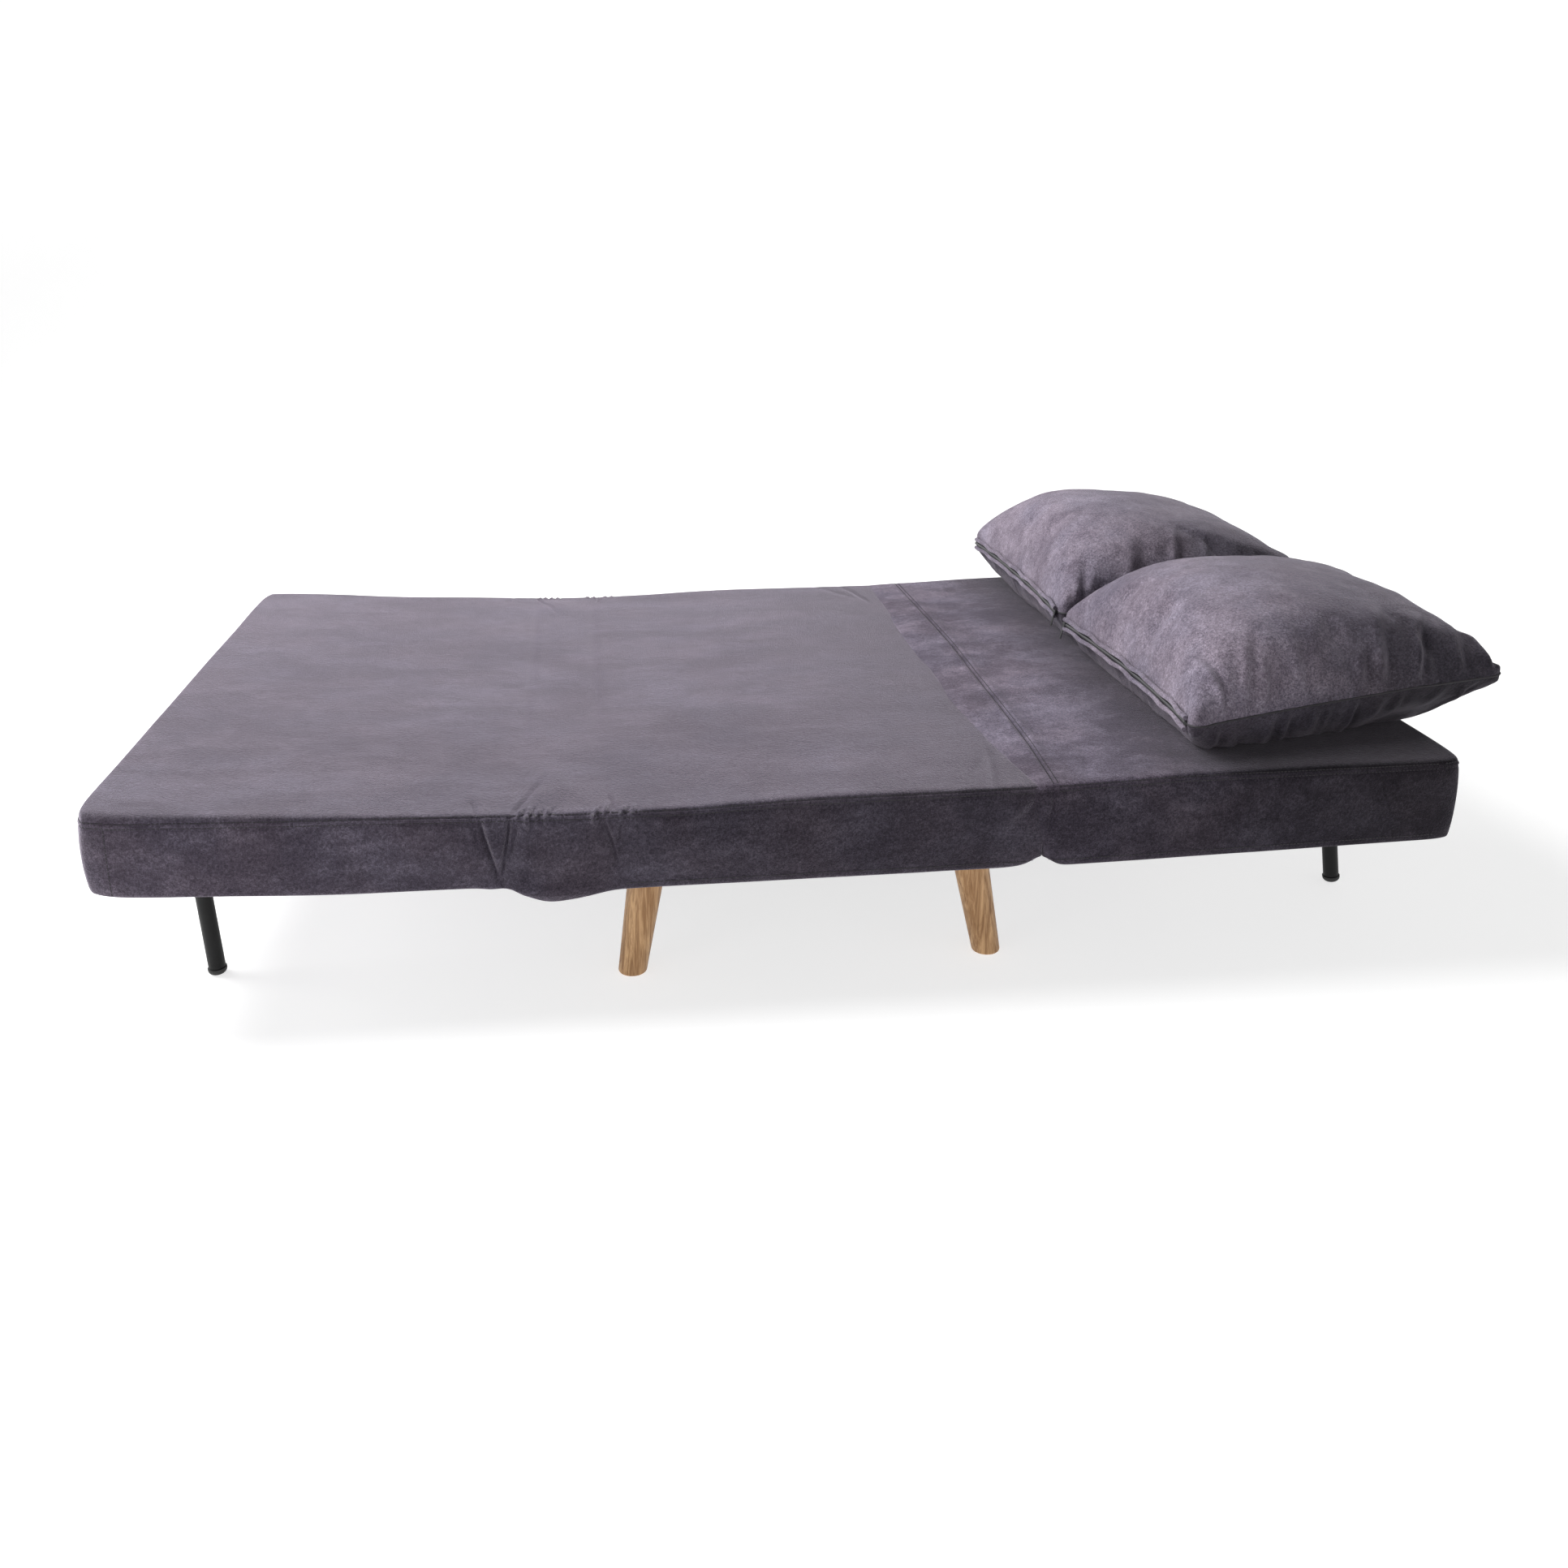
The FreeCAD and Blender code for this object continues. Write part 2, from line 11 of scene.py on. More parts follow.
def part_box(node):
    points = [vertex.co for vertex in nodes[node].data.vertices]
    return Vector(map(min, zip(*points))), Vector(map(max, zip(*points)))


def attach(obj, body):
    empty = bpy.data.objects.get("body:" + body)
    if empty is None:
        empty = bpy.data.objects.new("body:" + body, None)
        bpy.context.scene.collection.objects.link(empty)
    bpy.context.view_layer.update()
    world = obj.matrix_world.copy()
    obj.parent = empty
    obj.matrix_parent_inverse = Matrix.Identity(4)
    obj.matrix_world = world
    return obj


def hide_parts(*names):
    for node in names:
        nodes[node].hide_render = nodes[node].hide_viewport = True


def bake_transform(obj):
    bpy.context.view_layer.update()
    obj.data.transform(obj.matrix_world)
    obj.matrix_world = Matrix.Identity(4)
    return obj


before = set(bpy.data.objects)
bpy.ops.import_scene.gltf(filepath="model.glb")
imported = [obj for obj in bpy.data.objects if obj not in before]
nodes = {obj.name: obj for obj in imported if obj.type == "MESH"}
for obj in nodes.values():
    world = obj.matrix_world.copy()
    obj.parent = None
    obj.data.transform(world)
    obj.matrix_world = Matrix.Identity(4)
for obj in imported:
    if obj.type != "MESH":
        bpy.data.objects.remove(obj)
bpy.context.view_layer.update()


# Steel frame, hinges and folding leg brackets: square tube and pressed plate, welded up and
# dipped in black paint, with bright zinc on the hinge arms, plates, pins and bolts that turn.
class Sock:
    """A node's output, so that shader maths reads as arithmetic."""

    def __init__(self, tree, link):
        self.tree, self.link = tree, link

    def node(self, kind, settings=None, **inputs):
        made = self.tree.nodes.new(kind)
        for name, value in (settings or {}).items():
            setattr(made, name, value)
        for name, value in inputs.items():
            numbered = name[0] == "i" and name[1:].isdigit()
            slot = made.inputs[int(name[1:]) if numbered else name.replace("_", " ")]
            if isinstance(value, Sock):
                self.tree.links.new(value.link, slot)
            else:
                slot.default_value = value
        return made

    def maths(self, operation, a, b):
        made = self.node("ShaderNodeMath", {"operation": operation}, i0=a, i1=b)
        return Sock(self.tree, made.outputs[0])

    def __add__(self, other):
        return self.maths("ADD", self, other)

    def __radd__(self, other):
        return self.maths("ADD", other, self)

    def __sub__(self, other):
        return self.maths("SUBTRACT", self, other)

    def __rsub__(self, other):
        return self.maths("SUBTRACT", other, self)

    def __mul__(self, other):
        return self.maths("MULTIPLY", self, other)

    def __rmul__(self, other):
        return self.maths("MULTIPLY", other, self)

    def clip(self, low, high):
        """0 below low, 1 above high, smooth between."""
        made = self.node("ShaderNodeMapRange", {"interpolation_type": "SMOOTHSTEP"},
                         Value=self, From_Min=low, From_Max=high)
        return Sock(self.tree, made.outputs[0])

    def tint(self, dark, light):
        """A colour between two, by this value."""
        made = self.node("ShaderNodeMix", {"data_type": "RGBA"}, i0=self, i6=(*dark, 1), i7=(*light, 1))
        return Sock(self.tree, made.outputs[2])

    def blot(self, other, how="MULTIPLY", share=1.0):
        """This colour mixed with another."""
        made = self.node("ShaderNodeMix", {"data_type": "RGBA", "blend_type": how},
                         i0=share, i6=self, i7=other)
        return Sock(self.tree, made.outputs[2])


def finish(name):
    """A new material: its shader node, and its Object coordinates."""
    made = bpy.data.materials.new(name)
    made.use_nodes = True
    tree = made.node_tree
    shader = tree.nodes["Principled BSDF"]
    place = Sock(tree, tree.nodes.new("ShaderNodeTexCoord").outputs["Object"])
    return made, shader, place


def join(place, value, shader, name):
    place.tree.links.new(value.link, shader.inputs[name])


def speckle(place, scale, detail=3.0, rough=0.55, stretch=(1, 1, 1), distort=0.0):
    """Noise over the piece, 0 to 1. stretch above 1 draws it finer along that axis."""
    laid = place.node("ShaderNodeMapping", None, Vector=place, Scale=stretch)
    made = place.node("ShaderNodeTexNoise", None, Vector=Sock(place.tree, laid.outputs[0]), Scale=scale,
                      Detail=detail, Roughness=rough, Distortion=distort)
    return Sock(place.tree, made.outputs["Fac"])


def bump(place, height, shader, distance, strength=1.0):
    made = place.node("ShaderNodeBump", None, Height=height, Distance=distance, Strength=strength)
    place.tree.links.new(made.outputs[0], shader.inputs["Normal"])


def dress(material, *names):
    """Puts a material on CAD nodes, whose shapes are kept."""
    for name in names:
        data = nodes[name].data
        data.materials.clear()
        data.materials.append(material)


def painted_steel(name, colour, rough):
    made, shader, place = finish(name)
    peel = speckle(place, 900, 2)
    cloud = speckle(place, 22, 4)
    join(place, cloud.tint([c * 0.8 for c in colour], [c * 1.35 for c in colour]), shader, "Base Color")
    join(place, rough - 0.08 + cloud * 0.16, shader, "Roughness")
    bump(place, peel, shader, 0.0002, 0.35)
    shader.inputs["Specular IOR Level"].default_value = 0.5
    return made


black_paint = painted_steel("frame_paint", (0.018, 0.018, 0.020), 0.42)
for node in nodes:
    if "_rail_" in node or "_bracket_" in node:
        dress(black_paint, node)

zinc, shader, place = finish("zinc_plate")
brushed = speckle(place, 160, 3, stretch=(1, 6, 1))
spangle = speckle(place, 55, 2)
join(place, spangle.tint((0.40, 0.40, 0.41), (0.62, 0.62, 0.61)), shader, "Base Color")
join(place, 0.26 + brushed * 0.22, shader, "Roughness")
bump(place, brushed, shader, 0.0002, 0.3)
shader.inputs["Metallic"].default_value = 1.0
for node in nodes:
    if "_arm_" in node or "recline_" in node or "fold_pin" in node or node == "seat_leg_plates":
        dress(zinc, node)


# Slats: birch plywood about 8 mm thick, faces sanded and lacquered, laid across each frame
# on its side tubes, under the foam.
plywood, shader, place = finish("birch_plywood")
grain = speckle(place, 60, 6, 0.6, stretch=(5, 0.6, 5), distort=0.4)
plies = place.node("ShaderNodeTexWave", {"bands_direction": "Z"}, Vector=place, Scale=180.0, Distortion=0.6)
plies = Sock(place.tree, plies.outputs["Fac"])
join(place, grain.tint((0.50, 0.35, 0.20), (0.74, 0.58, 0.38)).blot(plies.tint((0.8, 0.8, 0.8), (1, 1, 1))),
     shader, "Base Color")
join(place, 0.42 + grain * 0.15, shader, "Roughness")
bump(place, grain, shader, 0.0004, 0.4)
dress(plywood, "seat_slats", "foot_slats", "back_slats")


# Folding legs: steel tube, powder coated black with a fine even orange peel, a 25 mm cross tube
# turning in its brackets with two 24 mm posts welded on. The feet are rounded plastic plugs.
powder_coat, shader, place = finish("powder_coat")
peel = speckle(place, 1100, 3, 0.6)
scuff = speckle(place, 14, 5, 0.65)
join(place, scuff.clip(0.45, 0.75).tint((0.0020, 0.0020, 0.0022), (0.0060, 0.0060, 0.0063)), shader,
     "Base Color")
join(place, 0.40 + scuff * 0.2, shader, "Roughness")
bump(place, peel, shader, 0.0003, 0.4)
shader.inputs["Specular IOR Level"].default_value = 0.25
for node in nodes:
    if node.endswith("_leg_tube") or "_leg_post_" in node:
        dress(powder_coat, node)

moulded, shader, place = finish("moulded_plastic")
grit = speckle(place, 700, 3)
wear = speckle(place, 40, 4)
join(place, wear.tint((0.005, 0.005, 0.0055), (0.014, 0.014, 0.014)), shader, "Base Color")
join(place, 0.5 + wear * 0.2, shader, "Roughness")
bump(place, grit, shader, 0.0004, 0.35)
for node in nodes:
    if "_leg_cap_" in node:
        dress(moulded, node)


# Wooden legs: turned and tapered rubberwood, oiled to a warm straw colour, splayed outwards
# and screwed up under the seat frame. Long open grain runs down each leg.
wood, shader, place = finish("oiled_rubberwood")
long_grain = speckle(place, 34, 7, 0.66, stretch=(3.4, 3.4, 0.20), distort=0.9)
pores = speckle(place, 210, 3, 0.6, stretch=(2.2, 2.2, 0.10))
drift = speckle(place, 7, 3, 0.5, stretch=(1, 1, 0.6))
tone = long_grain.clip(0.36, 0.66)
straw = tone.tint((0.30, 0.155, 0.062), (0.62, 0.39, 0.20))
straw = straw.blot(drift.tint((0.80, 0.78, 0.74), (1.06, 1.03, 1.0)))
straw = straw.blot(pores.clip(0.36, 0.52).tint((0.66, 0.60, 0.54), (1, 1, 1)), share=0.7)
join(place, straw, shader, "Base Color")
join(place, 0.50 - tone * 0.10, shader, "Roughness")
bump(place, long_grain * 0.6 + pores * 0.4, shader, 0.0012, 0.5)
shader.inputs["Specular IOR Level"].default_value = 0.4
for node in nodes:
    if node.startswith("seat_leg_") and node != "seat_leg_plates":
        dress(wood, node)


# Foot and seat: two foam slabs on the slats, under one cover of grey brushed polyester velvet
# sewn up from a top and side panels. The cover is cut loose where the foot folds on the seat,
# so there it creases and hangs slack; pockets in its underside take the folded legs.
foot_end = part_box("foot_cover")[0].x + 0.0026
half_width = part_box("seat_cover")[1].y


def slab(x_cuts, y_cuts, z_cuts):
    """A block cut into a grid."""
    block = bmesh.new()
    low, high = (Vector((x_cuts[i], y_cuts[i], z_cuts[i])) for i in (0, -1))
    bmesh.ops.create_cube(block, size=1.0,
                          matrix=Matrix.Translation((low + high) / 2) @ Matrix.Diagonal((*(high - low), 1)))
    for axis, cuts in enumerate((x_cuts, y_cuts, z_cuts)):
        across = Vector([float(i == axis) for i in range(3)])
        for cut in cuts[1:-1]:
            bmesh.ops.bisect_plane(block, geom=block.verts[:] + block.edges[:] + block.faces[:],
                                   plane_co=across * cut, plane_no=across)
    return block


def piece_from(block, name, *materials, smooth=True):
    mesh = bpy.data.meshes.new(name)
    block.to_mesh(mesh)
    block.free()
    piece = bpy.data.objects.new(name, mesh)
    bpy.context.scene.collection.objects.link(piece)
    for material in materials:
        mesh.materials.append(material)
    mesh.polygons.foreach_set("use_smooth", [smooth] * len(mesh.polygons))
    return piece


def applied(piece):
    """Applies the piece's modifiers."""
    bpy.context.view_layer.update()
    depsgraph = bpy.context.evaluated_depsgraph_get()
    made = bpy.data.meshes.new_from_object(piece.evaluated_get(depsgraph), preserve_all_data_layers=True,
                                           depsgraph=depsgraph)
    old, piece.data = piece.data, made
    piece.modifiers.clear()
    made.name = piece.name
    bpy.data.meshes.remove(old)


def smooth_out(piece, levels):
    made = piece.modifiers.new("smooth", "SUBSURF")
    made.levels = made.render_levels = levels
    applied(piece)


def points_of(mesh, field="co"):
    values = np.zeros(len(mesh.vertices) * 3, np.float32)
    if field == "co":
        mesh.vertices.foreach_get("co", values)
    else:
        mesh.vertex_normals.foreach_get("vector", values)
    return values.reshape(-1, 3).astype(float)


def put_points(mesh, points):
    mesh.vertices.foreach_set("co", points.astype(np.float32).ravel())
    mesh.update()


def ramp(value, low, high):
    t = np.clip((value - low) / (high - low), 0, 1)
    return t * t * (3 - 2 * t)


def swell(points, size, seed):
    """Smooth noise about 0, over points, with lumps of a size."""
    shift = Vector((seed * 7.3, seed * 3.1, seed * 5.7))
    return np.array([noise.noise(Vector(p) / size + shift) for p in points])


def crease(along, up, line, width):
    """1 on a line drawn on a panel, falling to 0 a width away, and to 0 towards its ends."""
    best = np.zeros(len(along))
    total = sum(math.dist(a, b) for a, b in zip(line, line[1:]))
    run = 0.0
    for a, b in zip(line, line[1:]):
        d = np.array(b) - np.array(a)
        length = math.hypot(*d)
        t = np.clip(((along - a[0]) * d[0] + (up - a[1]) * d[1]) / length ** 2, 0, 1)
        away = np.hypot(along - a[0] - t * d[0], up - a[1] - t * d[1])
        share = (run + t * length) / total
        fade = np.minimum(1, 6 * share) * np.minimum(1, 4 * (1 - share) + 0.15)
        best = np.maximum(best, np.exp(-(away / width) ** 2) * fade)
        run += length
    return best


SEAT_END = 1.282      # where the seat stops and the back starts, along the bed
HEAD_END = 1.9
FOOT_ROUND, HEAD_ROUND = 0.036, 0.031    # radii of the upright corners
SIDE_BULGE = 0.0035
SEAM_X = (-0.02, 0.0, 0.27, 0.52, 0.63, 0.79, 0.95, 1.28, 1.48, 1.885, 1.95)
SEAM_Z = (0.3055, 0.305, 0.294, 0.287, 0.2845, 0.284, 0.290, 0.291, 0.298, 0.299, 0.299)


def seam_height(b):
    """Height of the seam between top and side panels, b metres from the foot end."""
    return np.interp(b, SEAM_X, SEAM_Z)


def split_at(y, w):
    """Where the seat stops and the back starts: a shallow curve on top, straight lower down."""
    top = np.interp(y, (-0.6, -0.5, -0.35, -0.2, 0.0, 0.3, 0.6),
                    (1.274, 1.262, 1.253, 1.249, 1.258, 1.267, 1.277))
    return SEAT_END + (top - SEAT_END) * ramp(w, 0.55, 0.9)


def plan_corner(b, y, end, radius):
    """Rounds the upright corners at one end of a block."""
    a, c = (radius - abs(b - end)) / radius, (abs(y) - half_width + radius) / radius
    if a > 0 and c > 0:
        shrink = max(a, c) / math.hypot(a, c)
        side = 1 if end == 0 else -1
        y = math.copysign(half_width - radius * (1 - c * shrink), y)
        return end + side * radius * (1 - a * shrink), y
    return b, y


def settle_lying(b, v, w):
    y = half_width * v
    crown = np.interp(b, (0, 0.25, 0.52, 0.60, 0.68, 0.95, 1.2),
                      (0.012, 0.008, 0.005, 0.0035, 0.005, 0.008, 0.006))
    under = np.interp(b, (0, 0.03, 0.32, 0.503, 0.52, 0.537, 0.553,
                          0.588, 0.607, 0.64, 0.68, 0.705, 1.24, 1.27),
                      (0.204, 0.1985, 0.184, 0.183, 0.1795, 0.1825, 0.175,
                       0.1585, 0.157, 0.161, 0.170, 0.171, 0.172, 0.174))
    edge = np.interp(b, (0.05, 0.45), (1.0, 0.6))
    over = seam_height(b) + crown * (edge + (1 - edge) * (1 - abs(v) ** 3))
    over += 0.003 * (1 - v * v) * math.sin(math.pi * min(1, max(0, b / 1.25)))
    z = under + w * (over - under)
    if b <= FOOT_ROUND:
        b, y = plan_corner(b, y, 0, FOOT_ROUND)
        b -= 0.006 * ramp(FOOT_ROUND - b, 0, FOOT_ROUND) + 0.006 * (1 - (2 * w - 1) ** 2) * (b < 0.02)
    if abs(v) > 0.999:
        y += math.copysign(SIDE_BULGE * (1 - (2 * w - 1) ** 2) + 0.004 * ramp(0.30 - b, 0, 0.25), v)
    reach = ramp(b, 1.19, 1.28)
    b += (split_at(y, w) - SEAT_END) * reach
    if w < 0.1:
        z += 0.013 * ramp(b, 1.245, 1.2825) ** 1.5
    return Vector((foot_end + b, y, z))


lying_x = (0, 0.012, 0.036, 0.10, 0.18, 0.26, 0.34, 0.42, 0.475, 0.503, 0.52,
           0.537, 0.553, 0.57, 0.588, 0.607, 0.63, 0.652, 0.668, 0.684, 0.70, 0.73,
           0.80, 0.88, 0.96, 1.04, 1.12, 1.19, 1.235, 1.258, 1.272, 1.279, 1.2822)
across = (0, 0.2, 0.4, 0.6, 0.8, 0.925, 0.974, 1)
across = tuple(-v for v in across[:0:-1]) + across
depths = (0, 0.07, 0.25, 0.6, 0.86, 1)

block = slab(lying_x, across, depths)
for vert in block.verts:
    vert.co = settle_lying(*vert.co)
bmesh.ops.recalc_face_normals(block, faces=block.faces[:])


def velvet(name, deep, mid, bright, streak, sheen, along_bed=True, painted_shade_lift=0.0):
    """Brushed velvet: short pile laid this way and that by hand, so it is patched light and dark,
    with a grain of fibre tips and a sheen at a low angle."""
    made, shader, place = finish(name)
    brushed = speckle(place, 4.6, 5, 0.60, stretch=streak, distort=0.3)
    strokes = speckle(place, 17, 5, 0.62, stretch=streak, distort=0.4)
    fingers = speckle(place, 55, 4, 0.62, stretch=streak, distort=0.2)
    drawn = speckle(place, 38, 4, 0.6, stretch=(0.10, 2.2, 1.6))
    grain = speckle(place, 240, 4, 0.70)
    drift = speckle(place, 8, 3, 0.5)
    fibre = speckle(place, 520, 3, 0.75)
    patch = brushed * 0.46 + strokes * 0.30 + fingers * 0.16 + drawn * 0.08
    dark = patch.clip(0.37, 0.63)
    light = (strokes * 0.40 + brushed * 0.34 + fingers * 0.26).clip(0.44, 0.68)
    colour = dark.tint(deep, mid).blot(light.tint((0, 0, 0), bright), "ADD")
    colour = colour.blot(drift.clip(0.36, 0.64).tint((1.02, 0.99, 0.99), (0.98, 1.0, 1.03)))
    colour = colour.blot(grain.clip(0.34, 0.66).tint((0.70, 0.69, 0.71), (1.28, 1.28, 1.29)))
    colour = colour.blot(fibre.clip(0.32, 0.68).tint((0.60, 0.59, 0.61), (1.38, 1.38, 1.40)))
    x = Sock(place.tree, place.node("ShaderNodeSeparateXYZ", None, Vector=place).outputs[0])
    if along_bed:
        # painted shade, standing in for how the light falls: the sides are lightest at the foot and darken
        # towards the head, and the top (told from the sides by the top_panel attribute) darkens from the
        # seat's end into a painted shadow around the pillows, with drawn adding faint streaks
        attribute = place.node("ShaderNodeAttribute", {"attribute_name": "top_panel"})
        on_top = Sock(place.tree, attribute.outputs["Fac"])
        sides = (1.55 - x.clip(foot_end + 0.05, foot_end + 1.0) * 0.77
                 - x.clip(foot_end + 1.2, foot_end + 1.85) * 0.52)
        tops = (1.0 + painted_shade_lift + drawn * 0.10 - x.clip(foot_end + 0.95, foot_end + 1.27) * 0.45
                - x.clip(foot_end + 1.34, foot_end + 1.62) * 1.30)
        painted_shade = sides * (1 - on_top) + tops * on_top
    else:
        # painted shade: the pillow darkens from the zip towards the head end, where less light falls, with a
        # little stroke noise
        painted_shade = 1.36 - x.clip(foot_end + 1.58, foot_end + 1.92) * 1.06 + strokes * 0.10
    # the painted light and shade scale the velvet's colour here
    colour = colour.blot((painted_shade * 0.625).tint((0, 0, 0), (1.6, 1.6, 1.6)))
    join(place, colour, shader, "Base Color")
    join(place, 0.93 - dark * 0.10, shader, "Roughness")
    bump(place, grain * 0.6 + fibre * 0.4, shader, 0.0030, 0.8)
    shader.inputs["Sheen Weight"].default_value = sheen
    shader.inputs["Sheen Roughness"].default_value = 0.40
    shader.inputs["Sheen Tint"].default_value = (0.82, 0.75, 0.87, 1)
    shader.inputs["Specular IOR Level"].default_value = 0.10
    return made


bed_velvet = velvet("bed_velvet", (0.030, 0.0245, 0.033), (0.055, 0.047, 0.060), (0.018, 0.016, 0.019),
                    (0.7, 1.5, 1.5), 0.62)

lining, shader, place = finish("pocket_lining")
weave = speckle(place, 800, 3)
join(place, speckle(place, 30, 4).tint((0.008, 0.008, 0.009), (0.020, 0.020, 0.021)), shader, "Base Color")
join(place, 0.8 + weave * 0.15, shader, "Roughness")
bump(place, weave, shader, 0.0005, 0.4)

lying_cover = piece_from(block, "foot_and_seat_cover", bed_velvet, lining)
smooth_out(lying_cover, 3)


def tuck(piece, creases, seed):
    """Lays wrinkles, a seam groove and slack into a cover."""
    mesh = piece.data
    points, faces_to = points_of(mesh), points_of(mesh, field="normal")
    b, y, z = points[:, 0] - foot_end, points[:, 1], points[:, 2]
    side = ramp(np.abs(faces_to[:, 1]), 0.45, 0.85)
    end = ramp(np.abs(faces_to[:, 0]), 0.45, 0.85)
    over = ramp(faces_to[:, 2], 0.6, 0.95)
    seam = seam_height(b) - 0.003
    move = (0.0016 * swell(points, 0.16, seed) * (0.5 + 0.5 * over)
            + 0.0010 * swell(points, 0.06, seed + 1) * side)
    # seam groove: two sewn lines with the turned edge standing a little between them
    off = z - seam
    wall = np.maximum(side, end) * (b > -0.1)
    move += wall * (0.0010 * np.exp(-(off / 0.0020) ** 2)
                    - 0.0015 * np.exp(-((np.abs(off) - 0.0033) / 0.0018) ** 2))
    for line, width, depth, where in creases:
        mask = side if where == "sides" else over
        move += mask * depth * crease(b, y if where == "top" else z, line, width)
    # how far each point faces up when the bed lies flat, kept as top_panel so the painted shade can treat the
    # top and the sides apart
    panel = mesh.attributes.new("top_panel", "FLOAT", "POINT")
    panel.data.foreach_set("value", ramp(faces_to[:, 2], 0.25, 0.80).astype(np.float32))
    # the hinge pins press up from below
    for pin in ("fold_pin_near", "fold_pin_far"):
        low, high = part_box(pin)
        away = np.hypot(points[:, 0] - (low.x + high.x) / 2, (y - (low.y + high.y) / 2) * 0.6)
        rise = high.z + 0.0025 - points[:, 2]
        knuckle = np.exp(-(np.maximum(away - 0.012, 0) / 0.022) ** 2) * (away < 0.12)
        move += over * np.maximum(rise, 0) * knuckle
    points += faces_to * move[:, None]
    put_points(mesh, points)


fold_creases = [
    # the V of creases beside the fold, running down from the seam to where the slack starts
    (((0.506, 0.291), (0.512, 0.262), (0.522, 0.225), (0.531, 0.188)), 0.0030, -0.0070, "sides"),
    (((0.497, 0.290), (0.505, 0.255), (0.516, 0.222)), 0.0028, -0.0030, "sides"),
    (((0.517, 0.290), (0.521, 0.262), (0.528, 0.230)), 0.0050, 0.0030, "sides"),
    (((0.548, 0.291), (0.545, 0.262), (0.538, 0.225), (0.533, 0.188)), 0.0034, -0.0080, "sides"),
    (((0.561, 0.290), (0.553, 0.255), (0.542, 0.215)), 0.0028, -0.0035, "sides"),
    (((0.570, 0.290), (0.562, 0.258), (0.549, 0.215)), 0.0065, 0.0038, "sides"),
    (((0.592, 0.288), (0.582, 0.255), (0.562, 0.215)), 0.0050, -0.0020, "sides"),
    # its fainter twin at the seat's own edge
    (((0.668, 0.289), (0.676, 0.265), (0.684, 0.238), (0.690, 0.205)), 0.0034, -0.0052, "sides"),
    (((0.702, 0.289), (0.694, 0.262), (0.689, 0.230)), 0.0034, -0.0044, "sides"),
    (((0.655, 0.289), (0.662, 0.260), (0.672, 0.230)), 0.0060, 0.0032, "sides"),
    (((0.545, 0.182), (0.60, 0.173), (0.66, 0.177)), 0.0100, 0.0035, "sides"),
    # soft pull beside the back's hinge
    (((1.280, 0.284), (1.264, 0.262), (1.235, 0.232)), 0.0080, -0.0026, "sides"),
    (((1.262, 0.284), (1.246, 0.262), (1.215, 0.240)), 0.0090, 0.0018, "sides"),
    # soft dip across the top over the hinge
    (((0.555, -0.6), (0.560, 0.0), (0.555, 0.6)), 0.0100, -0.0016, "top"),
    (((0.672, -0.6), (0.668, 0.0), (0.672, 0.6)), 0.0120, -0.0013, "top"),
    (((0.613, -0.6), (0.613, 0.6)), 0.0220, 0.0012, "top"),
]
for side in (-1, 1):
    # the creases run on over the edge and die out in the top, with short puckers between them
    fold_creases += [
        (((0.506, side * 0.603), (0.500, side * 0.575), (0.492, side * 0.54)), 0.0032, -0.0022, "top"),
        (((0.549, side * 0.603), (0.560, side * 0.565), (0.580, side * 0.51), (0.595, side * 0.46)),
         0.0032, -0.0024, "top"),
        (((0.690, side * 0.603), (0.684, side * 0.57), (0.680, side * 0.54)), 0.0034, -0.0020, "top"),
        (((1.15, side * 0.60), (1.18, side * 0.55), (1.23, side * 0.47)), 0.0060, -0.0016, "top"),
        (((1.205, side * 0.60), (1.225, side * 0.54), (1.245, side * 0.44)), 0.0050, -0.0018, "top"),
    ]
    for b, length in ((0.559, 0.020), (0.571, 0.028), (0.583, 0.018), (0.596, 0.024),
                      (0.660, 0.018), (0.673, 0.026), (0.697, 0.018), (0.711, 0.022)):
        outer, inner = side * 0.604, side * (0.600 - length)
        fold_creases += [
            (((b, outer), (b + 0.004, inner)), 0.0026, 0.0022, "top"),
            (((b + 0.006, outer), (b + 0.009, inner)), 0.0026, -0.0020, "top"),
            (((b, 0.292), (b - 0.001, 0.278 - length * 0.3)), 0.0026, 0.0020, "sides"),
        ]
tuck(lying_cover, fold_creases, 1)


def pocket(piece, tube, inward):
    """Cuts the lined pockets that the posts of a folding leg turn up into."""
    low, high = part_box(tube)
    x, z = (low.x + high.x) / 2, (low.z + high.z) / 2
    cutter = bmesh.new()
    for side in ("near", "far"):
        post_low, post_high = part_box(tube.replace("_tube", "_post_" + side))
        y = (post_low.y + post_high.y) / 2
        far_x = x + inward * 0.225
        near_x = x - inward * 0.024
        bmesh.ops.create_cube(cutter, size=1.0, matrix=Matrix.Translation(((near_x + far_x) / 2, y, z - 0.04))
                              @ Matrix.Diagonal((abs(far_x - near_x), 0.037, 0.112, 1)))
    for face in cutter.faces:
        face.material_index = 1
    tool = piece_from(cutter, "pocket_tool", bed_velvet, lining, smooth=False)
    made = piece.modifiers.new("pocket", "BOOLEAN")
    made.object, made.operation, made.solver = tool, "DIFFERENCE", "EXACT"
    applied(piece)
    bpy.data.objects.remove(tool)


pocket(lying_cover, "foot_leg_tube", 1)


